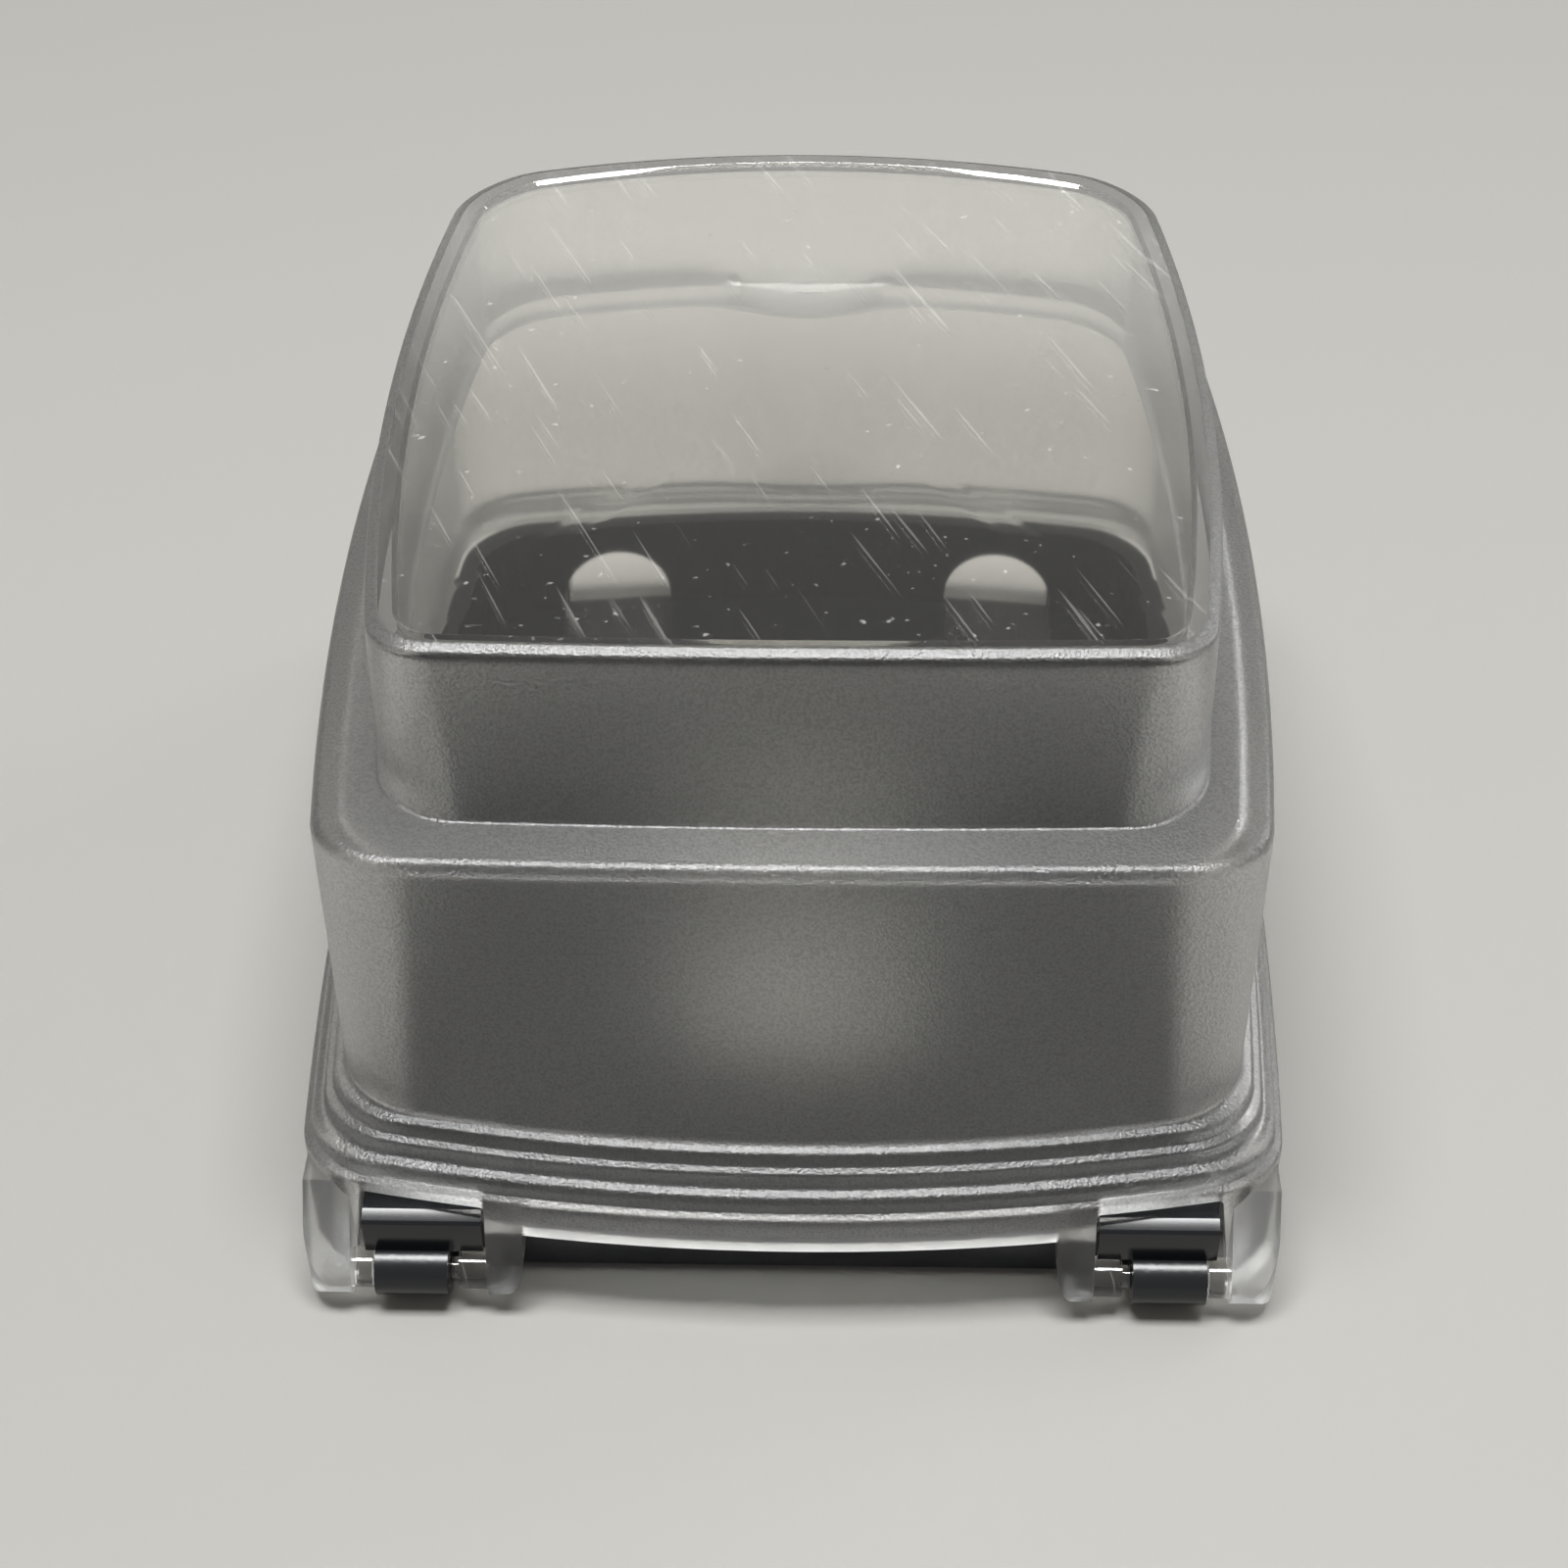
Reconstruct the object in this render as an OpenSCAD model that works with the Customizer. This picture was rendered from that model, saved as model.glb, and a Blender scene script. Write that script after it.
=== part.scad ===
// Weatherproof in use outlet cover, single gang, hinged at its upper short end.
// It lies on its back: the wall plane is Z = 0, +Z points away from the wall,
// the hinge is at -Y and the cords leave at +Y.

/* [Lid dome] */
// Half length of the window outline, corner line to centre
window_half_len = 50.6; // [48:0.2:60]
// Half width of the window outline at its ends
window_half_w = 43.8; // [42:0.2:54]
// Height of the window rim above the wall plane
lid_h = 82.2; // [74:0.2:110]
// Height of the upper ledge above the wall plane
shoulder_z = 60.5; // [48:0.5:68]
// How far the upper ledge steps out
shoulder_step = 6.3; // [5:0.1:8]
// Height of the lower double ledge above the wall plane
flange_z = 20.7; // [20:0.1:28]
// How far each of the two lower ledges steps out
flange_step = 2.1; // [1.7:0.1:3]
// Extra draft of the end walls over the side walls
end_lean = 1.9; // [0.6:0.1:5]
// Wall of the clear moulding
lid_wall = 2.4; // [1.8:0.1:3]
// Rise of the window centre
window_crown = 0.6; // [0:0.1:2.5]
// Width of the rolled rim round the window
rim_w = 2.4; // [2:0.1:4]
// Gap between the lid's lower edge and the wall plane
lid_gap = 0.8; // [0.4:0.1:2]
// Bow of the side walls
side_bow = 4.1; // [2:0.1:5]
// Bow of the hinge end at the lower ledges
near_bow = 6.5; // [5:0.1:7.5]

/* [Hinge] */
// Height of the hinge axis above the wall plane
hinge_z = 4.5; // [4:0.1:5]
// Distance of the hinge axis behind the lid's end face
hinge_back = 2.6; // [2.4:0.1:3.6]
// Radius of the hinge barrels
barrel_r = 3.2; // [2.8:0.1:3.4]
// Radius of the clear bosses beside the barrels
boss_r = 2.4; // [2:0.1:2.8]
// Radius of the stub pins
stub_r = 1.3; // [1:0.05:1.6]
// Radial running gap of the stub pins
stub_gap = 0.08; // [0.03:0.01:0.1]
// Distance of each hinge notch from the lid's side face
notch_edge = 7.1; // [6.6:0.1:8]
// Width of each hinge notch
notch_w = 14.7; // [12:0.1:17]
// Top of the hinge notch above the wall plane
notch_top = 15.6; // [14:0.2:16]
// How far the outer side of each notch leans out at the wall plane
notch_slant = 2; // [0:0.1:3]
// Lower edge of the end wall between the hinges, above the wall plane
mid_top = 11; // [8:0.2:12]
// Thickness of the inner hinge ears
ear_t = 4.4; // [3:0.1:5]
// Height of the round at the lower end of each inner ear
ear_round = 7; // [4:0.5:8]
// Length of the barrel on the base
barrel_len = 8.6; // [6:0.1:9]
// Length of the clear boss outside each barrel
outer_boss = 2.6; // [1.6:0.1:3]
// End gap between barrel and outer boss
end_gap = 0.35; // [0.25:0.05:0.8]

/* [Base] */
// Gap between the base and the inside of the lid
fit_gap = 0.5; // [0.3:0.05:0.8]
// Extra gap at the hinge end, where the lid's corners swing in
swing_gap = 1.2; // [1:0.1:2]
// Thickness of the base floor
floor_t = 2.8; // [2:0.1:4]
// Height of the base rim above the wall plane
rim_top = 18.8; // [15:0.2:20]
// Height of the ledge between the foot of the base and its rim
step_top = 9; // [8:0.2:12]
// Depth of that ledge at the hinge end
step_back = 2; // [1:0.1:2.6]
// Fall of that ledge over its depth
step_drop = 0.7; // [0.2:0.1:1]
// Height of the rim at the hinge end above the wall plane
near_rim_top = 15; // [13:0.2:15.4]
// Thickness of the base rim
rim_t = 2.2; // [1.8:0.1:2.8]
// Thickness of the foam gasket behind the base
gasket_t = 1.6; // [1:0.1:2.6]
// Inset of the gasket from the base outline
gasket_inset = 2; // [1:0.5:4]

/* [Device opening] */
// Edge of the snap in insert beyond the receptacle faces
insert_edge = 1.25; // [0.8:0.05:1.6]
// Width of the snap in insert
insert_w = 50; // [42:1:60]
// Thickness of the insert
insert_t = 2.4; // [1.6:0.1:3]
// Gap round the insert
insert_gap = 0.15; // [0.1:0.05:0.4]
// Width of the ledge that carries the insert
insert_ledge = 2; // [1.4:0.1:3]
// Distance between the two receptacle faces
duplex_pitch = 38.9; // [38:0.1:39]
// Diameter of a receptacle face opening
duplex_d = 34.9; // [34:0.1:36]
// Height of a receptacle face opening
duplex_h = 28.6; // [28:0.1:29]
// Distance of each box screw beyond the end of the insert
screw_margin = 6.65; // [6.4:0.05:7]
// Width of a box screw slot
slot_w = 4.2; // [3.8:0.1:4.6]
// Length of a box screw slot
slot_len = 6.6; // [5:0.1:7]

/* [Cords and lock] */
// Distance of each cord port from the middle
port_x = 29; // [24:0.5:34]
// Radius of the cord ports
port_r = 8; // [6:0.5:9]
// Height of the cord port centre above the wall plane
port_z = 6; // [5:0.5:8]
// Length of the padlock tabs beyond the end face
tab_len = 12; // [10.5:0.5:15]
// Width of the padlock tabs
tab_w = 18; // [14:1:22]
// Thickness of each padlock tab
tab_t = 2.8; // [2:0.1:3]
// Radius of the padlock hole
lock_r = 3.6; // [3:0.1:4]
// Width of the finger scoop in the far wall
scoop_w = 34; // [26:1:44]
// Depth of the finger scoop
scoop_depth = 4; // [1:0.5:5]

/* [Hidden] */
$fn = 64;
eps = 0.01;

black = [0.05, 0.055, 0.06];
clear_pc = [0.78, 0.8, 0.82, 0.45];
foam = [0.12, 0.12, 0.12];

arc_steps = 6;
side_steps = 9;

// Bow of the hinge end, of the cord end and of the sides at height z
near_bows = [[0, near_bow], [flange_z - 3, near_bow], [shoulder_z - 4, 0.95], [lid_h, 0.75]];
far_bows = [[0, 5.4], [flange_z, 5.6], [shoulder_z, 6.4], [lid_h, 7.6]];
side_bows = [[0, side_bow - 1.2], [flange_z, side_bow - 0.8], [shoulder_z, side_bow], [lid_h, side_bow]];
near_radii = [[0, 7], [shoulder_z, 8], [lid_h, 5.6]];
far_radii = [[0, 8], [shoulder_z, 9], [lid_h, 9]];

// Outer profile of the dome from the window rim down: height, side step, end step
upper_e = 1;
shoulder_e = upper_e + shoulder_step;
skirt_e = shoulder_e + 1.6;
profile = [
    [lid_h - 0.3, -rim_w, -rim_w],
    [lid_h + 0.1, -rim_w * 0.75, -rim_w * 0.75],
    [lid_h + 0.3, -rim_w * 0.5, -rim_w * 0.5],
    [lid_h, -rim_w * 0.2, -rim_w * 0.2],
    [lid_h - 0.9, 0, 0],
    [lid_h - 2.6, 0.6, 0.7],
    [lerp(shoulder_z, lid_h, 0.63), 0.8, 1.4],
    [shoulder_z + 3, upper_e, upper_e + end_lean],
    [shoulder_z + 0.9, upper_e + 0.5, upper_e + end_lean + 0.5],
    [shoulder_z + 0.2, upper_e + 1.6, upper_e + end_lean + 1.6],
    [shoulder_z - 0.2, shoulder_e - 0.6, shoulder_e + end_lean - 0.6],
    [shoulder_z - 0.9, shoulder_e + 0.3, shoulder_e + end_lean + 0.3],
    [shoulder_z - 2.4, shoulder_e + 0.7, shoulder_e + end_lean + 0.7],
    [(shoulder_z + flange_z) / 2, (shoulder_e + skirt_e) / 2 + 0.3, (shoulder_e + skirt_e) / 2 + 0.3 + end_lean],
    [flange_z + 2.4, skirt_e, skirt_e + end_lean],
    [flange_z + 0.6, skirt_e + 0.5, skirt_e + end_lean + 0.5],
    [flange_z, skirt_e + flange_step * 0.6, skirt_e + end_lean + flange_step * 0.6],
    [flange_z - 0.5, skirt_e + flange_step, skirt_e + end_lean + flange_step],
    [flange_z - 2.2, skirt_e + flange_step + 0.2, skirt_e + end_lean + flange_step + 0.2],
    [flange_z - 2.8, skirt_e + flange_step * 1.4, skirt_e + end_lean + flange_step * 1.4],
    [flange_z - 3.3, skirt_e + flange_step * 1.9, skirt_e + end_lean + flange_step * 2],
    [flange_z - 4.6, skirt_e + flange_step * 2.1, skirt_e + end_lean + flange_step * 2.2],
    [lid_gap, skirt_e + flange_step * 2.2, skirt_e + end_lean + flange_step * 2.3]
];
// Inner profile, from under the window to the lower edge; w is the wall
w = lid_wall;
inner_profile = [
    [lid_h - 0.3 - w, 0.4 - w, 0.4 - w],
    [lerp(shoulder_z, lid_h, 0.63), 0.8 - w, 1.4 - w],
    [shoulder_z + 2, upper_e - w, upper_e + end_lean - w],
    [shoulder_z - 0.4, upper_e + 0.1 - w, upper_e + end_lean + 0.1 - w],
    [shoulder_z - 2, upper_e + 1 - w, upper_e + end_lean + 1 - w],
    [shoulder_z - 2.5, upper_e + 2.4 - w, upper_e + end_lean + 2.4 - w],
    [shoulder_z - 2.9, shoulder_e - 0.5 - w, shoulder_e + end_lean - 0.5 - w],
    [shoulder_z - 4.2, shoulder_e + 0.6 - w, shoulder_e + end_lean + 0.6 - w],
    [(shoulder_z + flange_z) / 2, (shoulder_e + skirt_e) / 2 + 0.3 - w, (shoulder_e + skirt_e) / 2 + 0.3 + end_lean - w],
    [flange_z + 1.4, skirt_e - w, skirt_e + end_lean - w],
    [flange_z - 1, skirt_e + 0.1 - w, skirt_e + end_lean + 0.1 - w],
    [flange_z - 2.6, skirt_e + flange_step * 0.5 - w, skirt_e + end_lean + flange_step * 0.5 - w],
    [flange_z - 6, skirt_e + flange_step * 2.1 - w, skirt_e + end_lean + flange_step * 2.2 - w],
    [lid_gap, skirt_e + flange_step * 2.2 - w, skirt_e + end_lean + flange_step * 2.3 - w]
];
face_len = window_half_len + profile[len(profile) - 1][2];
face_w = window_half_w + profile[len(profile) - 1][1];
near_face = face_len + lookup(0, near_bows);
far_face = face_len + lookup(0, far_bows);
hinge_y = -(near_face - hinge_back);
notch_out = face_w - notch_edge;
notch_in = notch_out - notch_w;
insert_len = duplex_pitch + duplex_h + 2 * insert_edge;
screw_pitch = insert_len + 2 * screw_margin;
floor_z = gasket_t + floor_t;
insert_z = floor_z;
ear_out = 1.8;
ear_r = barrel_r - 0.2;
ear_inset = 0.45;
boss_gap = 1.2;
notch_foot = notch_out + notch_slant * (1 - hinge_z / notch_top);
tab_corner = 5;
lock_margin = 2.4;
barrel_x = notch_foot - outer_boss - end_gap - barrel_len;
ear_gap = 0.4;
base_near = hinge_y + ear_r + ear_gap;
foot_half_w = face_w - lid_wall - fit_gap;
foot_half_len = face_len - lid_wall - fit_gap;
rim_half_w = window_half_w + skirt_e - lid_wall - fit_gap;
rim_half_len = window_half_len + skirt_e + end_lean - lid_wall - fit_gap;
near_corner = near_radii[0][1];
far_corner = far_radii[0][1];
rim_shift = 5;
cut = 15;

// Distance of the flange's end face from the middle, at x; less in the corner
function corner_drop(x) = x < face_w - near_corner ? 0
    : near_corner - sqrt(pow(near_corner, 2) - pow(x - face_w + near_corner, 2));
function near_y(x) = face_len + lookup(0, near_bows) * (1 - pow(x / face_w, 2)) - corner_drop(x);
function lerp(a, b, t) = a + (b - a) * t;
function arc(cx, cy, r, a) = [for (i = [0:arc_steps]) [cx + r * cos(a + 90 * i / arc_steps), cy + r * sin(a + 90 * i / arc_steps)]];
function side(p, q) = [for (i = [1:side_steps - 1]) [lerp(p[0], q[0], i / side_steps), lerp(p[1], q[1], i / side_steps)]];

// A rounded rectangle, counted anticlockwise from its near right corner
function rounded(hx, hy, rn, rf) =
    let (a = arc(hx - rn, -hy + rn, rn, 270), b = arc(hx - rf, hy - rf, rf, 0))
    let (c = arc(-hx + rf, hy - rf, rf, 90), d = arc(-hx + rn, -hy + rn, rn, 180))
    concat(a, side(a[arc_steps], b[0]), b, side(b[arc_steps], c[0]),
        c, side(c[arc_steps], d[0]), d, side(d[arc_steps], a[0]));

// The same outline with its four sides bowed outwards as parabolas
function bowed(hx, hy, rn, rf, bn, bf, bs) = [
    for (p = rounded(hx, hy, rn, rf))
        [p[0] + sign(p[0]) * bs * (1 - pow(p[1] / hy, 2)),
         p[1] + (p[1] < 0 ? -bn : bf) * (1 - pow(p[0] / hx, 2))]
];

// Depth of the finger scoop, full in the middle of the far wall below the ledge
function scoop(x, y, z) =
    y < window_half_len / 2 || abs(x) > scoop_w / 2 ? 0
    : scoop_depth * pow(cos(180 * x / scoop_w), 2)
        * lookup(z, [[flange_z, 0], [flange_z + 8, 0.5], [shoulder_z - 6, 1], [shoulder_z + 0.4, 1], [shoulder_z + 1, 0]]);

function ring(z, ex, ey) = [
    for (p = bowed(window_half_w + ex, window_half_len + ey,
            max(1, lookup(z, near_radii) + min(ex, 0)), max(1, lookup(z, far_radii) + min(ex, 0)),
            lookup(z, near_bows), lookup(z, far_bows), lookup(z, side_bows)))
        [p[0], p[1] - scoop(p[0], p[1], z), z]
];

// The window's own rings shrink towards its centre and rise with the crown
function pane(z, e, s) = [
    for (p = ring(z, e, e)) [p[0] * s, p[1] * s, z + window_crown * (1 - s * s)]
];

// One closed skin: over the outside from the window's middle to the lower
// edge, then back up the inside
module dome() {
    last = len(inner_profile) - 1;
    outer_rings = [for (p = profile) ring(p[0], p[1], p[2])];
    inner_rings = [for (i = [last:-1:0]) let (q = inner_profile[i]) ring(q[0], q[1], q[2])];
    top_z = profile[0][0];
    under_z = top_z - lid_wall;
    rings = concat(
        [pane(top_z, -rim_w, 0.35), pane(top_z, -rim_w, 0.7)],
        outer_rings, inner_rings,
        [pane(under_z, -rim_w, 1), pane(under_z, -rim_w, 0.7), pane(under_z, -rim_w, 0.35)]);
    n = len(rings[0]);
    m = len(rings);
    points = concat([for (r = rings) each r],
        [[0, 0, top_z + window_crown], [0, 0, under_z + window_crown]]);
    walls = [for (i = [0:m - 2]) for (k = [0:n - 1])
        let (a = i * n + k, b = i * n + (k + 1) % n)
        each [[a, b, b + n], [a, b + n, a + n]]];
    caps = [for (k = [0:n - 1]) each [
        [k, m * n, (k + 1) % n],
        [(m - 1) * n + k, (m - 1) * n + (k + 1) % n, m * n + 1]]];
    polyhedron(points = points, faces = concat(walls, caps), convexity = 6);
}

// Side view of a hinge ear: a round end on the axis, and a stem up to the height
// top in the end wall, whose outer face is at face_y
module ear_profile(face_y, top) {
    translate([hinge_y, hinge_z]) circle(r = ear_r);
    polygon([[hinge_y - ear_r, hinge_z], [face_y, top], [face_y + lid_wall, top], [hinge_y + ear_r, hinge_z]]);
}

module along_x(x0, length) {
    translate([x0, 0, 0]) rotate([90, 0, 90]) linear_extrude(height = length) children();
}

// Extrudes an outline drawn in X and Z right through the hinge end
module through_end() {
    translate([0, cut * 2 / 3 - near_face, 0]) rotate([90, 0, 0]) linear_extrude(height = cut) children();
}

// Opening round a hinge, its outer side leaning out towards the wall plane
module notch_shape() {
    polygon([[notch_in, -cut], [notch_out + notch_slant, -cut], [notch_out + notch_slant, 0],
        [notch_out, notch_top], [notch_in, notch_top]]);
}

// Front view of an inner ear: straight beside the notch, round on its other side
module ear_front() {
    round_z = hinge_z - ear_r + ear_round;
    translate([notch_in, round_z]) scale([ear_t, ear_round]) circle(r = 1);
    translate([notch_in - ear_t, round_z]) square([ear_t, cut]);
}

// Right hand ears with their bosses and stub pins
module lid_ears() {
    intersection() {
        along_x(notch_in - ear_t, ear_t) ear_profile(-near_y(notch_in) + ear_inset, mid_top + 3);
        through_end() ear_front();
    }
    along_x(notch_foot, ear_out) ear_profile(-near_y(notch_foot + ear_out) + ear_inset, notch_top - 0.6);
    inner_boss = barrel_x - boss_gap - notch_in;
    along_x(notch_in - eps, inner_boss) translate([hinge_y, hinge_z]) circle(r = boss_r);
    along_x(notch_foot - outer_boss, outer_boss + eps) translate([hinge_y, hinge_z]) circle(r = boss_r);
    along_x(notch_in, inner_boss + boss_gap + barrel_len / 3) translate([hinge_y, hinge_z]) circle(r = stub_r);
    along_x(notch_foot - outer_boss - end_gap - barrel_len / 3, outer_boss + end_gap + barrel_len / 3)
        translate([hinge_y, hinge_z]) circle(r = stub_r);
}

module port_shape(r) {
    translate([0, port_z]) circle(r = r);
    translate([-r, -1]) square([2 * r, port_z + 1]);
}

module ports(r) {
    for (s = [-1, 1])
        translate([s * port_x, window_half_len, 0]) rotate([90, 0, 180])
            linear_extrude(height = far_face) port_shape(r);
}

// A padlock tab with round corners, from y0 to beyond the far end face
module tab(z0, y0) {
    end_y = far_face + tab_len;
    translate([0, 0, z0]) difference() {
        linear_extrude(height = tab_t) {
            translate([-tab_w / 2, y0]) square([tab_w, end_y - tab_corner - y0]);
            translate([-tab_w / 2 + tab_corner, y0]) square([tab_w - 2 * tab_corner, end_y - y0]);
            for (s = [-1, 1])
                translate([s * (tab_w / 2 - tab_corner), end_y - tab_corner]) circle(r = tab_corner);
        }
        translate([0, end_y - lock_r - lock_margin, -1]) cylinder(r = lock_r, h = tab_t + 2);
    }
}

module lid() {
    tab_z = floor_z + 0.3;
    color(clear_pc) {
        difference() {
            dome();
            translate([-notch_in, -near_face - cut / 3, -cut]) cube([2 * notch_in, cut, mid_top + cut]);
            through_end() notch_shape();
            through_end() mirror([1, 0]) notch_shape();
            ports(port_r);
            translate([-tab_w / 2 - fit_gap, far_face - cut / 2, -cut]) cube([tab_w + 2 * fit_gap, cut, cut + tab_z + 0.1]);
        }
        lid_ears();
        mirror([1, 0, 0]) lid_ears();
        tab(tab_z, far_face - lid_wall + 0.4);
    }
}

// Outline of the foot: the lid's lower inside less the fit gap, and a flat front
// that fills the width of the hinge notches
module foot_outline(inset) {
    front = notch_out - end_gap - inset;
    outline = bowed(foot_half_w - inset, foot_half_len - inset, near_corner, far_corner,
        near_bow, lookup(0, far_bows), lookup(0, side_bows));
    intersection() {
        union() {
            intersection() {
                polygon(outline);
                translate([0, swing_gap]) polygon(outline);
            }
            translate([-front, -near_face]) square([2 * front, near_face]);
        }
        translate([-face_w, base_near + inset]) square([2 * face_w, 2 * near_face]);
    }
}

// Outline of the rim: the inside of the skirt less the fit gap, drawn out at the
// hinge end to the depth of the ledge
module rim_outline(inset) {
    outline = bowed(rim_half_w - inset, rim_half_len - inset, near_corner, far_corner,
        lookup(flange_z, near_bows), lookup(flange_z, far_bows), lookup(flange_z, side_bows));
    intersection() {
        union() {
            polygon(outline);
            translate([0, -rim_shift]) polygon(outline);
        }
        translate([-face_w, base_near + step_back + inset]) square([2 * face_w, 2 * near_face]);
    }
}

module slots(extra) {
    for (s = [-1, 1])
        translate([0, s * screw_pitch / 2]) {
            square([slot_w + extra, slot_len - slot_w], center = true);
            for (t = [-1, 1]) translate([0, t * (slot_len - slot_w) / 2]) circle(d = slot_w + extra);
        }
}

// Right hand knuckle: an arm from the rim with the barrel on its end
module knuckle() {
    difference() {
        union() {
            along_x(barrel_x, barrel_len) translate([hinge_y, hinge_z]) circle(r = barrel_r);
            translate([barrel_x, hinge_y, hinge_z - barrel_r]) cube([barrel_len, base_near - hinge_y + 1, 2 * barrel_r]);
        }
        along_x(barrel_x - 1, barrel_len + 2) translate([hinge_y, hinge_z]) circle(r = stub_r + stub_gap);
    }
}

module base() {
    collar_w = insert_w + 2 * insert_gap;
    collar_l = insert_len + 2 * insert_gap;
    color(black) {
        difference() {
            union() {
                translate([0, 0, gasket_t]) linear_extrude(height = floor_t) rim_outline(0);
                translate([0, 0, gasket_t]) linear_extrude(height = step_top - gasket_t) difference() {
                    foot_outline(0);
                    foot_outline(rim_t);
                }
                translate([0, 0, step_top - floor_t]) linear_extrude(height = floor_t) difference() {
                    foot_outline(0);
                    rim_outline(rim_t);
                }
                translate([0, 0, gasket_t]) linear_extrude(height = rim_top - gasket_t) difference() {
                    rim_outline(0);
                    rim_outline(rim_t);
                }
                translate([0, 0, floor_z - eps]) linear_extrude(height = insert_t) difference() {
                    square([collar_w + 3, collar_l + 3], center = true);
                    square([collar_w, collar_l], center = true);
                }
            }
            translate([-face_w, -near_face, near_rim_top])
                cube([2 * face_w, near_face - rim_half_len + near_corner, rim_top]);
            along_x(-face_w, 2 * face_w) polygon([[base_near + step_back, step_top],
                [base_near - step_back, step_top - 2 * step_drop], [base_near - step_back, step_top + 1]]);
            translate([0, 0, -1]) linear_extrude(height = floor_z + 2) {
                square([collar_w - 2 * insert_ledge, collar_l - 2 * insert_ledge], center = true);
                slots(0);
            }
            ports(port_r);
        }
        knuckle();
        mirror([1, 0, 0]) knuckle();
        tab(floor_z - tab_t, foot_half_len + lookup(0, far_bows) - rim_t);
    }
}

module wall_gasket() {
    color(foam) linear_extrude(height = gasket_t) difference() {
        foot_outline(gasket_inset);
        square([insert_w - insert_ledge, insert_len - insert_ledge], center = true);
        slots(1.6);
    }
}

module duplex_insert() {
    color(black) translate([0, 0, insert_z]) linear_extrude(height = insert_t) difference() {
        square([insert_w, insert_len], center = true);
        for (s = [-1, 1])
            translate([0, s * duplex_pitch / 2]) intersection() {
                circle(d = duplex_d);
                square([duplex_d, duplex_h], center = true);
            }
        circle(d = slot_w);
    }
}

lid();
base();
wall_gasket();
duplex_insert();
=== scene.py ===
import math

import bpy
import numpy as np
from mathutils import Matrix, Vector


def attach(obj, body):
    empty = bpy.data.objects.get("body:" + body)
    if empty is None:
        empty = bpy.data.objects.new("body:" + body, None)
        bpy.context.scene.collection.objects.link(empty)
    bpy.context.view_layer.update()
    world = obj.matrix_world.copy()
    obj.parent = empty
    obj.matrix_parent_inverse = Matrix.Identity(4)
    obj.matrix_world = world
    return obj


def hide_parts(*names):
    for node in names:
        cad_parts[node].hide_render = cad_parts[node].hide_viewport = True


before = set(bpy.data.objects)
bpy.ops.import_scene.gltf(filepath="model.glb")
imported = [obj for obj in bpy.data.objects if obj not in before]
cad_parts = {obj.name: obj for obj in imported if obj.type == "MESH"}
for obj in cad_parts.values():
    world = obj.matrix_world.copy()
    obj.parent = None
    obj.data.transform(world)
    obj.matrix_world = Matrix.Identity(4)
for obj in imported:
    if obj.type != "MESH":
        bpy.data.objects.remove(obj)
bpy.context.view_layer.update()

# Lid: one clear injection moulding, a stepped dome with bowed sides. Its window
# is smooth and set in a rolled rim; the walls carry a fine moulded grain. Two
# ears with stub pins hang at each hinge, and a padlock tab stands at the far end.
# Sizes are in mm, with z up from the wall and y away from the hinge.
WINDOW_HALF_W = 43.8
WINDOW_HALF_LEN = 50.6
RIM_Z = 82.2
PANE_Z = RIM_Z - 0.3
PANE_CROWN = 0.6
PANE_THICK = 2.4
SHOULDER_Z = 60.5
FLANGE_Z = 20.7
LEDGE_Z = 15.8
LID_FOOT_Z = 0.8
RING_STEP = 2.5


def profile_line(points, step):
    """A wall's section, from corner points (step out from the window, height, corner radius).

    Each corner becomes an arc that meets both its lines, and the straight stretches are cut into short steps.
    """
    p = np.array([q[:2] for q in points], dtype=float)
    r = [q[2] for q in points]
    out = [p[0]]
    for i in range(1, len(p) - 1):
        a, b = p[i - 1] - p[i], p[i + 1] - p[i]
        a, b = a / np.linalg.norm(a), b / np.linalg.norm(b)
        half = math.acos(float(np.clip(a @ b, -1, 1))) / 2
        centre = p[i] + (a + b) / np.linalg.norm(a + b) * r[i] / math.sin(half)
        start, end = p[i] + a * r[i] / math.tan(half), p[i] + b * r[i] / math.tan(half)
        t0 = math.atan2(*(start - centre)[::-1])
        t1 = math.atan2(*(end - centre)[::-1])
        turn = (t1 - t0 + math.pi) % (2 * math.pi) - math.pi
        t = np.linspace(t0, t0 + turn, 7)
        count = max(1, int(np.linalg.norm(start - out[-1]) / step))
        out += [out[-1] + (start - out[-1]) * k / count for k in range(1, count)]
        out += list(centre + r[i] * np.c_[np.cos(t), np.sin(t)])
    count = max(1, int(np.linalg.norm(p[-1] - out[-1]) / step))
    out += [out[-1] + (p[-1] - out[-1]) * k / count for k in range(1, count + 1)]
    return np.array(out)


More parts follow.
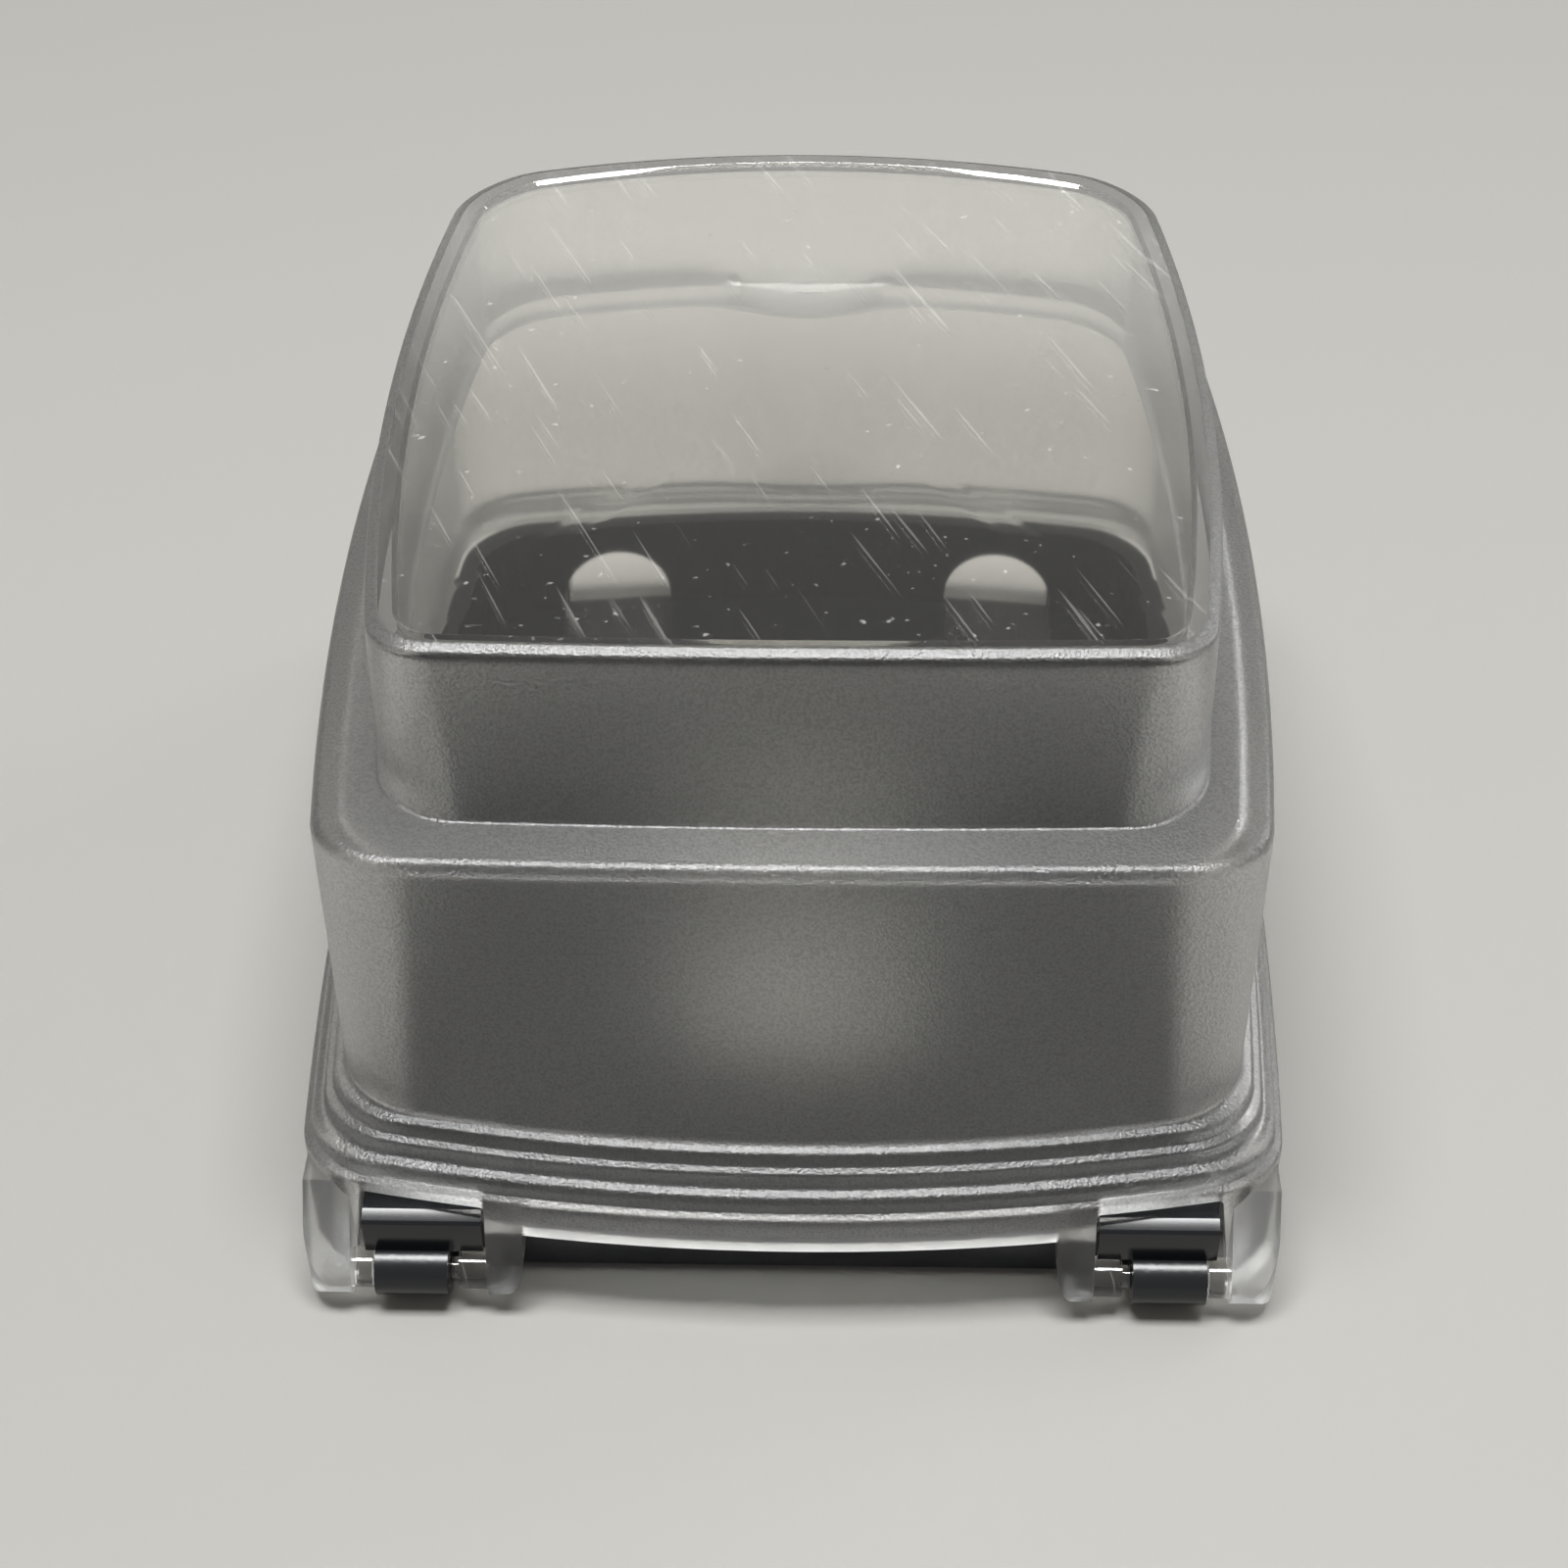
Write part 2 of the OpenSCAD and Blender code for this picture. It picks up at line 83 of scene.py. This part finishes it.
def ring(e, z, corner=20, along=80):
    """One ring of the dome at height z, stepped out by e from the window's outline.

    A rounded rectangle whose sides bow as parabolas: x + bow (1 - (y / half length)^2), and the same along y.
    The ends step out by a little more than the sides, as their draft is larger. At the far end, a finger
    scoop draws the wall in by a squared cosine of x.
    """
    lean = np.interp(z, [SHOULDER_Z + 3, 74.2, 79.6, 81.3], [1.9, 0.6, 0.1, 0])
    hx, hy = WINDOW_HALF_W + e, WINDOW_HALF_LEN + e + lean
    near_bow = np.interp(z, [FLANGE_Z - 3, SHOULDER_Z - 4, RIM_Z], [6.5, 0.95, 0.75])
    far_bow = np.interp(z, [0, FLANGE_Z, SHOULDER_Z, RIM_Z], [5.4, 5.6, 6.4, 7.6])
    side_bow = np.interp(z, [LEDGE_Z + 1.5, FLANGE_Z, SHOULDER_Z], [2.9, 3.3, 4.1])
    near_r = max(1, np.interp(z, [0, SHOULDER_Z, RIM_Z], [7, 8, 5.6]) + min(e, 0))
    far_r = max(1, np.interp(z, [0, SHOULDER_Z, RIM_Z], [8, 9, 9]) + min(e, 0))
    arcs = []
    corners = ((1, -1, near_r, 270), (1, 1, far_r, 0), (-1, 1, far_r, 90), (-1, -1, near_r, 180))
    for sx, sy, r, turn in corners:
        t = np.radians(turn + np.linspace(0, 90, corner + 1))
        arcs.append(np.c_[sx * (hx - r) + r * np.cos(t), sy * (hy - r) + r * np.sin(t)])
    outline = []
    for arc, following in zip(arcs, arcs[1:] + arcs[:1]):
        outline.append(arc)
        outline.append(arc[-1] + (following[0] - arc[-1]) * (np.arange(1, along) / along)[:, None])
    x, y = np.vstack(outline).T
    px = x + np.sign(x) * side_bow * (1 - (y / hy) ** 2)
    py = y + np.where(y < 0, -near_bow, far_bow) * (1 - (x / hx) ** 2)
    scoop_z = [FLANGE_Z, FLANGE_Z + 8, SHOULDER_Z - 6, SHOULDER_Z + 0.4, SHOULDER_Z + 1]
    scoop_depth = np.interp(z, scoop_z, [0, 2, 4, 4, 0])
    scoop = np.where((py > 25) & (abs(px) < 17), scoop_depth * np.cos(np.pi * px / 34) ** 2, 0)
    return np.c_[px, py - scoop, np.full(len(px), z)]


rim = [(-2.4, PANE_Z, 0), (-1.9, RIM_Z + 0.15, 0.3), (-0.3, RIM_Z + 0.3, 0.6), (0.95, RIM_Z - 0.32, 0.7)]
shoulder = [(1.1, SHOULDER_Z + 0.1, 0.6), (8.2, SHOULDER_Z - 0.2, 1.5)]
foot_steps = [(8.3, FLANGE_Z + 2.15, 0.9), (9.7, FLANGE_Z + 1.75, 0.8), (9.85, FLANGE_Z + 0.3, 0.35),
              (10.75, FLANGE_Z - 0.15, 0.5), (10.95, FLANGE_Z - 1.75, 0.9), (12.5, FLANGE_Z - 2.15, 1.0),
              (12.6, LEDGE_Z + 0.9, 0.3)]
skirt = [(13.5, LEDGE_Z + 0.4, 0.6), (13.5, LID_FOOT_Z, 0)]
outside = profile_line(rim + shoulder + foot_steps + skirt, RING_STEP)
inside = profile_line([
    (-2.0, PANE_Z - PANE_THICK, 0), (-1.4, SHOULDER_Z - 2.5, 1.2), (5.4, SHOULDER_Z - 2.8, 1.0),
    (6.1, FLANGE_Z - 1.4, 2.0), (10.9, LEDGE_Z - 1.6, 2.0), (11.1, LID_FOOT_Z, 0)], RING_STEP)

WINDOW, GRAINED_WALL, INSIDE_WALL, SKIRT = range(4)


def pane_rings(z, shares):
    """Rings of the window at shares of its outline, raised towards the middle by crown (1 - share^2)."""
    edge = ring(-2.4, z)
    return [np.c_[edge[:, :2] * share, edge[:, 2] + PANE_CROWN * (1 - share ** 2)] for share in shares]


shares = np.linspace(0.04, 1, 18)
rings = pane_rings(PANE_Z, shares[:-1])
zones = [WINDOW] * len(rings)
for e, z in outside:
    rings.append(ring(e, z))
    zones.append(SKIRT if z < LEDGE_Z else GRAINED_WALL if e > -1.75 else WINDOW)
for e, z in inside[::-1]:
    rings.append(ring(e, z))
    zones.append(INSIDE_WALL)
rings += pane_rings(PANE_Z - PANE_THICK, shares[::-1])
zones += [WINDOW] * len(shares)
around, levels = len(rings[0]), len(rings)
middles = [[[0, 0, PANE_Z + PANE_CROWN]], [[0, 0, PANE_Z - PANE_THICK + PANE_CROWN]]]
dome_verts = np.vstack(rings + middles) / 1000
k = np.arange(around)
following = (k + 1) % around
upper = np.arange(levels - 1)[:, None] * around
lower = upper + around
quads = np.stack([upper + k, lower + k, lower + following, upper + following], axis=-1)
last = (levels - 1) * around
top_fan = np.c_[k, following, np.full(around, levels * around)]
under_fan = np.c_[last + k, np.full(around, levels * around + 1), last + following]
dome_faces = quads.reshape(-1, 4).tolist() + top_fan.tolist() + under_fan.tolist()
dome_zones = np.r_[np.repeat(zones[:-1], around), np.full(2 * around, WINDOW)]


def material(name, color, roughness):
    """A new node material: the material, its tree, its shader and the node that gives Object coordinates."""
    m = bpy.data.materials.new(name)
    m.use_nodes = True
    shader = m.node_tree.nodes["Principled BSDF"]
    shader.inputs["Base Color"].default_value = (*color, 1)
    shader.inputs["Roughness"].default_value = roughness
    return m, m.node_tree, shader, m.node_tree.nodes.new("ShaderNodeTexCoord")


def clear_plastic(name, color, roughness):
    """Clear polycarbonate: a material that lets all light through and bends it by 1.58."""
    m, tree, shader, coords = material(name, color, roughness)
    shader.inputs["Transmission Weight"].default_value = 1
    shader.inputs["IOR"].default_value = 1.58
    return m, tree, shader, coords


def bump(tree, coords, shader, scale, strength, distance):
    """Fine relief from noise, as many waves per metre as scale says. Returns the noise."""
    noise = tree.nodes.new("ShaderNodeTexNoise")
    noise.inputs["Scale"].default_value = scale
    noise.inputs["Detail"].default_value = 3
    relief = tree.nodes.new("ShaderNodeBump")
    relief.inputs["Strength"].default_value = strength
    relief.inputs["Distance"].default_value = distance
    tree.links.new(coords.outputs["Object"], noise.inputs["Vector"])
    tree.links.new(noise.outputs["Fac"], relief.inputs["Height"])
    tree.links.new(relief.outputs["Normal"], shader.inputs["Normal"])
    return noise


def fade(tree, value, low, high, amount, curve="LINEAR"):
    """Rises from 0 to the amount as the value goes from low to high."""
    node = tree.nodes.new("ShaderNodeMapRange")
    node.interpolation_type = curve
    for socket, number in (("From Min", low), ("From Max", high), ("To Min", 0), ("To Max", amount)):
        node.inputs[socket].default_value = number
    tree.links.new(value, node.inputs["Value"])
    return node.outputs["Result"]


def sums(tree, operation, first, second):
    """One step of arithmetic on two values, each a number or a socket, kept between 0 and 1."""
    node = tree.nodes.new("ShaderNodeMath")
    node.operation = operation
    node.use_clamp = True
    for socket, value in zip(node.inputs, (first, second)):
        if isinstance(value, (int, float)):
            socket.default_value = value
        else:
            tree.links.new(value, socket)
    return node.outputs["Value"]


# The window is a little worn: thin scratches that run aslant, and specks. A faint
# whitening that grows towards its far end is a painted reflection of bright light.
window_mat, tree, shader, coords = clear_plastic("clear_window", (0.97, 0.96, 0.92), 0.03)
place = tree.nodes.new("ShaderNodeSeparateXYZ")
tree.links.new(coords.outputs["Object"], place.inputs["Vector"])
# Painted reflection: the window whitens from its middle towards its far end.
painted_reflection = fade(tree, place.outputs["Y"], -0.01, 0.035, 0.078, "SMOOTHSTEP")
aslant = tree.nodes.new("ShaderNodeMapping")
aslant.vector_type = "TEXTURE"
aslant.inputs["Rotation"].default_value = (0, 0, math.radians(-66))
aslant.inputs["Scale"].default_value = (0.022, 0.0007, 1)
tree.links.new(coords.outputs["Object"], aslant.inputs["Vector"])
scratches = tree.nodes.new("ShaderNodeTexNoise")
scratches.inputs["Scale"].default_value = 1
scratches.inputs["Detail"].default_value = 0
tree.links.new(aslant.outputs["Vector"], scratches.inputs["Vector"])
specks = tree.nodes.new("ShaderNodeTexNoise")
specks.inputs["Scale"].default_value = 800
specks.inputs["Detail"].default_value = 1
tree.links.new(coords.outputs["Object"], specks.inputs["Vector"])
wear_and_painted_reflection = sums(tree, "ADD", painted_reflection, fade(tree, scratches.outputs["Fac"], 0.73, 0.79, 0.07))
wear_and_painted_reflection = sums(tree, "ADD", wear_and_painted_reflection, fade(tree, specks.outputs["Fac"], 0.73, 0.82, 0.16))
tree.links.new(sums(tree, "SUBTRACT", 1, wear_and_painted_reflection), shader.inputs["Transmission Weight"])

wall_color = (0.93, 0.93, 0.92)
grained_mat, tree, shader, coords = clear_plastic("clear_grained_wall", wall_color, 0.3)
shader.inputs["Specular IOR Level"].default_value = 0.8
grain = bump(tree, coords, shader, 2800, 1, 0.0001)
grain_color = tree.nodes.new("ShaderNodeValToRGB")
grain_color.color_ramp.elements[0].position = 0.35
grain_color.color_ramp.elements[0].color = (0.6, 0.6, 0.59, 1)
grain_color.color_ramp.elements[1].position = 0.65
grain_color.color_ramp.elements[1].color = (1, 1, 1, 1)
tree.links.new(grain.outputs["Fac"], grain_color.inputs["Fac"])
tree.links.new(grain_color.outputs["Color"], shader.inputs["Base Color"])

inside_mat = clear_plastic("clear_inside_wall", wall_color, 0.36)[0]

skirt_mat, tree, shader, coords = clear_plastic("clear_skirt", wall_color, 0.28)
bump(tree, coords, shader, 1500, 0.3, 0.0001)

SHARP_EDGE = math.radians(32)


def mesh_object(name, verts, faces, materials=(), indices=None):
    """A mesh object from vertices in metres and faces, smooth but for its sharp edges."""
    mesh = bpy.data.meshes.new(name)
    mesh.from_pydata(np.asarray(verts).tolist(), [], [tuple(int(i) for i in f) for f in faces])
    for m in materials:
        mesh.materials.append(m)
    if indices is not None:
        mesh.polygons.foreach_set("material_index", np.asarray(indices, dtype=np.int32))
    mesh.validate()
    mesh.shade_smooth()
    mesh.set_sharp_from_angle(angle=SHARP_EDGE)
    obj = bpy.data.objects.new(name, mesh)
    bpy.context.scene.collection.objects.link(obj)
    return obj


lid_mats = (window_mat, grained_mat, inside_mat, skirt_mat)
lid = mesh_object("lid_dome", dome_verts, dome_faces, lid_mats, dome_zones)


def prism(name, outline, axis, low, high, materials=()):
    """A closed solid in mm: a closed outline of 2-D points, drawn along x, y or z from low to high."""
    p = np.asarray(outline, dtype=float)
    n = len(p)
    ends = []
    for level in (low, high):
        c = np.full(n, level)
        ends.append({"x": np.c_[c, p], "y": np.c_[p[:, 0], c, p[:, 1]], "z": np.c_[p, c]}[axis])
    faces = [list(range(n))[::-1], list(range(n, 2 * n))]
    faces += [[i, (i + 1) % n, n + (i + 1) % n, n + i] for i in range(n)]
    area = np.sum(p[:, 0] * np.roll(p[:, 1], -1) - np.roll(p[:, 0], -1) * p[:, 1])
    if (area < 0) != (axis == "y"):
        faces = [f[::-1] for f in faces]
    return mesh_object(name, np.vstack(ends) / 1000, faces, materials)


def rectangle(left, right, low, high):
    """The four corners of a rectangle."""
    return [(left, low), (right, low), (right, high), (left, high)]


def disc(cx, cy, r, steps=48):
    """Points of a circle: the centre plus r times (cos t, sin t)."""
    t = np.linspace(0, 2 * math.pi, steps, endpoint=False)
    return np.c_[cx + r * np.cos(t), cy + r * np.sin(t)]


def rounded_polygon(points, radii, steps=6):
    """The polygon with each corner replaced by an arc of its radius that meets both its sides."""
    p = np.asarray(points, dtype=float)
    out = []
    for i, r in enumerate(radii):
        a = p[i - 1] - p[i]
        b = p[(i + 1) % len(p)] - p[i]
        a, b = a / np.linalg.norm(a), b / np.linalg.norm(b)
        half = math.acos(float(np.clip(a @ b, -1, 1))) / 2
        if r <= 0 or half > math.radians(89):
            out.append(p[i])
            continue
        centre = p[i] + (a + b) / np.linalg.norm(a + b) * r / math.sin(half)
        start, end = p[i] + a * r / math.tan(half), p[i] + b * r / math.tan(half)
        t0 = math.atan2(*(start - centre)[::-1])
        t1 = math.atan2(*(end - centre)[::-1])
        turn = (t1 - t0 + math.pi) % (2 * math.pi) - math.pi
        t = np.linspace(t0, t0 + turn, steps + 1)
        out += list(centre + r * np.c_[np.cos(t), np.sin(t)])
    return np.array(out)


def combine(target, tools, operation):
    """Joins the tool solids to the target mesh, or cuts them out of it, and removes them."""
    for tool in tools:
        modifier = target.modifiers.new("combine", "BOOLEAN")
        modifier.object = tool
        modifier.operation = operation
        modifier.solver = "MANIFOLD"
        bpy.context.view_layer.update()
        graph = bpy.context.evaluated_depsgraph_get()
        done = bpy.data.meshes.new_from_object(target.evaluated_get(graph))
        target.modifiers.clear()
        old = target.data
        target.data = done
        done.name = old.name
        bpy.data.meshes.remove(old)
        bpy.data.objects.remove(tool)


# Openings in the skirt: the middle of the hinge end, a cord port with a round top
# on each side of the far end, the slot for the padlock tab, and the hinge notches.
HINGE_Y = -70.13
HINGE_Z = 4.5
NOTCH_IN = 35.5
NOTCH_OUT = 50.2
NOTCH_FOOT = 52.2
NOTCH_TOP = 15.1
MIDDLE_TOP = 11
PORT_X = 29
PORT_Z = 6
PORT_R = 8
TAB_Z = 4.7
TAB_HALF_W = 9
TAB_GAP = 0.5
BELOW = -5
hinge_end = (-78, -63)
far_end = (50, 90)
cuts = [prism("middle_cut", rectangle(-NOTCH_IN, NOTCH_IN, BELOW, MIDDLE_TOP), "y", *hinge_end)]
for x in (PORT_X, -PORT_X):
    cuts.append(prism("port_arch", disc(x, PORT_Z, PORT_R), "y", *far_end))
for x in (PORT_X, -PORT_X):
    cuts.append(prism("port_foot", rectangle(x - PORT_R, x + PORT_R, BELOW, PORT_Z), "y", *far_end))
slot_half = TAB_HALF_W + TAB_GAP
cuts.append(prism("tab_slot", rectangle(-slot_half, slot_half, BELOW, TAB_Z + 0.1), "y", 60, 80))
for s in (-1, 1):
    notch = rounded_polygon([(NOTCH_IN, BELOW), (NOTCH_FOOT, BELOW), (NOTCH_FOOT, 0), (NOTCH_OUT, NOTCH_TOP),
                             (NOTCH_IN, NOTCH_TOP)], [0, 0, 0, 0.8, 0.5])
    cuts.append(prism("notch_cut", notch * (s, 1), "y", *hinge_end))
combine(lid, cuts, "DIFFERENCE")

# Ears, bosses and pins: beside each notch hangs an inner ear with a curved front
# and a wide outer lobe. A boss on each faces the barrel, and a stub pin enters it.
EAR_OUT = 31.1
LOBE_IN = 51.6
LOBE_OUT = 57.2
EAR_FOOT_R = 3
BOSS_R = 2.4
PIN_R = 1.3
SUNK = 0.1
bosses_and_pins = ((NOTCH_IN - SUNK, 38.89, BOSS_R), (49.04, LOBE_IN + 2 * SUNK, BOSS_R),
                   (NOTCH_IN - SUNK, 42.96, PIN_R), (45.82, LOBE_IN + 2 * SUNK, PIN_R))


def ear_side_view(s, inner, outer, top, front, depth):
    """An ear drawn along x: a stem that leans down to a round foot about the pin's axis."""
    stem = [(HINGE_Y - EAR_FOOT_R, HINGE_Z), (front, top), (front + depth, top),
            (HINGE_Y + 2 + depth, HINGE_Z), (HINGE_Y + 2, 1.7)]
    t = np.radians(np.linspace(-60, -180, 17)[:-1])
    foot = np.c_[HINGE_Y + EAR_FOOT_R * np.cos(t), HINGE_Z + EAR_FOOT_R * np.sin(t)]
    return prism("ear", np.vstack([stem, foot]), "x", *sorted((s * inner, s * outer)), (skirt_mat,))


joined = []
for s in (-1, 1):
    ear = ear_side_view(s, EAR_OUT, NOTCH_IN, 14, -69.79, 2.4)
    t = np.radians(np.linspace(180, 270, 17))
    quarter = np.c_[35.6 + 4.5 * np.cos(t), 8.6 + 7.1 * np.sin(t)]
    front_view = np.vstack([quarter, [(35.6, 20), (31, 20)]])
    combine(ear, [prism("ear_front", front_view * (s, 1), "y", -80, -60)], "INTERSECT")
    lobe = ear_side_view(s, LOBE_IN, LOBE_OUT, 15, -65.9, 4.5)
    top_view = rounded_polygon([(51, -58), (51, -73.4), (57.1, -73.4), (57.1, -58)], [0, 0, 4.5, 0], 12)
    combine(lobe, [prism("lobe_top", top_view * (s, 1), "z", 0, 20)], "INTERSECT")
    front_view = rounded_polygon([(51, 20), (51, 0), (57.3, 1.2), (57.3, 20)], [0, 0, 3.5, 0], 12)
    combine(lobe, [prism("lobe_front", front_view * (s, 1), "y", -80, -50)], "INTERSECT")
    joined += [ear, lobe]
    for inner, outer, r in bosses_and_pins:
        ends = sorted((s * inner, s * outer))
        joined.append(prism("pin", disc(HINGE_Y, HINGE_Z, r), "x", *ends, (window_mat,)))

# Padlock tab: a flat tongue with a round hole, moulded on at the far end.
TAB_BACK = 69.63
TAB_FRONT = 83.63
TAB_THICK = 2.8
PADLOCK_Y = 77.63
PADLOCK_R = 3.6
tongue = rounded_polygon(rectangle(-TAB_HALF_W, TAB_HALF_W, TAB_BACK, TAB_FRONT), [0, 0, 5, 5], 10)
tab = prism("tab", tongue, "z", TAB_Z, TAB_Z + TAB_THICK, (window_mat,))
combine(tab, [prism("tab_hole", disc(0, PADLOCK_Y, PADLOCK_R), "z", 3, 9)], "DIFFERENCE")
combine(lid, joined + [tab], "UNION")
lid.data.shade_smooth()
lid.data.set_sharp_from_angle(angle=SHARP_EDGE)
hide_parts("lid")
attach(lid, "lid")


# Base: a black satin moulding with a low foot, a ledge and a rim, and two
# hinge knuckles. Its edges are slightly rounded.
def finish(node, m):
    """Gives every slot of a solid from the frame one material."""
    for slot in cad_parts[node].material_slots:
        slot.material = m


black = (0.004, 0.005, 0.007)
satin_mat, tree, shader, coords = material("black_satin_plastic", black, 0.28)
bump(tree, coords, shader, 900, 0.15, 0.0002)
finish("base", satin_mat)
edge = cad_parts["base"].modifiers.new("edge", "BEVEL")
edge.width = 0.0004
edge.segments = 2
edge.limit_method = "ANGLE"
edge.angle_limit = math.radians(40)

# Hinge blocks: the smooth black blocks of the base above its barrels, which fill
# the lid's notches. Each has a straight chamfer along its front edge.
BLOCK_FRONT = -70.3
BLOCK_BACK = -64.9
BLOCK_FOOT = 7.4
smooth_mat = material("black_smooth_plastic", black, 0.16)[0]
block_corners = [(BLOCK_BACK, BLOCK_FOOT), (BLOCK_BACK, 13.7), (-68.7, 13.3), (-70.05, 12.68),
                 (BLOCK_FRONT, 12.2), (BLOCK_FRONT, BLOCK_FOOT)]
block_view = rounded_polygon(block_corners, [0, 0.3, 0.2, 0.15, 0.2, 0.4], 4)
for s, side in ((-1, "left"), (1, "right")):
    block = prism("hinge_block_" + side, block_view, "x", *sorted((s * 35.95, s * 49.85)), (smooth_mat,))
    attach(block, "base")

# Receptacle insert: a flat black plate with two receptacle openings. It snaps
# into the collar of the base.
finish("duplex_insert", material("black_insert_plastic", (0.008, 0.01, 0.013), 0.36)[0])

# Wall gasket: a sheet of closed cell foam behind the base, dull and fine pored.
foam_mat, tree, shader, coords = material("black_foam", (0.02, 0.02, 0.021), 0.9)
bump(tree, coords, shader, 2500, 0.6, 0.0003)
finish("wall_gasket", foam_mat)

# Stage: a pale plain floor and soft light from above.
floor_mat = material("pale_floor", (0.255, 0.25, 0.235), 0.6)[0]
prism("floor", rectangle(-3000, 3000, -3000, 3000), "z", -20, -0.02, (floor_mat,))

world = bpy.data.worlds.new("world")
bpy.context.scene.world = world
world.use_nodes = True
sky = world.node_tree.nodes["Background"]
sky.inputs["Color"].default_value = (1.0, 0.985, 0.955, 1)
sky.inputs["Strength"].default_value = 0.38


def area_lamp(name, place, width, depth, power):
    """A rectangular lamp in metres and watts, which points straight down."""
    light = bpy.data.lights.new(name, "AREA")
    light.shape = "RECTANGLE"
    light.size = width
    light.size_y = depth
    light.energy = power
    lamp = bpy.data.objects.new(name, light)
    lamp.location = place
    bpy.context.scene.collection.objects.link(lamp)
    return lamp


area_lamp("panel", (-0.05, -0.06, 1.2), 0.8, 0.34, 27)
side_place = Vector((1.0, 0.6, 0.6))
side_lamp = area_lamp("side", side_place, 0.5, 0.5, 5)
side_lamp.rotation_euler = (side_place - Vector((0, 0, 0.04))).to_track_quat("Z", "Y").to_euler()

# Camera: it looks down on the hinge end, turned by three angles.
yaw, pitch, roll = math.radians(1.61), math.radians(40.43), math.radians(-0.52)
forward = np.array([-math.sin(yaw) * math.cos(pitch), math.cos(yaw) * math.cos(pitch), -math.sin(pitch)])
level = np.array([math.cos(yaw), math.sin(yaw), 0])
plumb = np.array([math.sin(yaw) * math.sin(pitch), -math.cos(yaw) * math.sin(pitch), -math.cos(pitch)])
right = math.cos(roll) * level - math.sin(roll) * plumb
down = math.sin(roll) * level + math.cos(roll) * plumb
view = np.eye(4)
view[:3, 0] = right
view[:3, 1] = -down
view[:3, 2] = -forward
view[:3, 3] = (0.0057, -0.279, 0.2581)
lens = bpy.data.cameras.new("camera")
lens.sensor_width = 36
lens.lens = 63
lens.clip_start = 0.01
camera = bpy.data.objects.new("camera", lens)
camera.matrix_world = Matrix(view.tolist())
bpy.context.scene.collection.objects.link(camera)
bpy.context.scene.camera = camera

bpy.context.scene.view_settings.view_transform = "Standard"
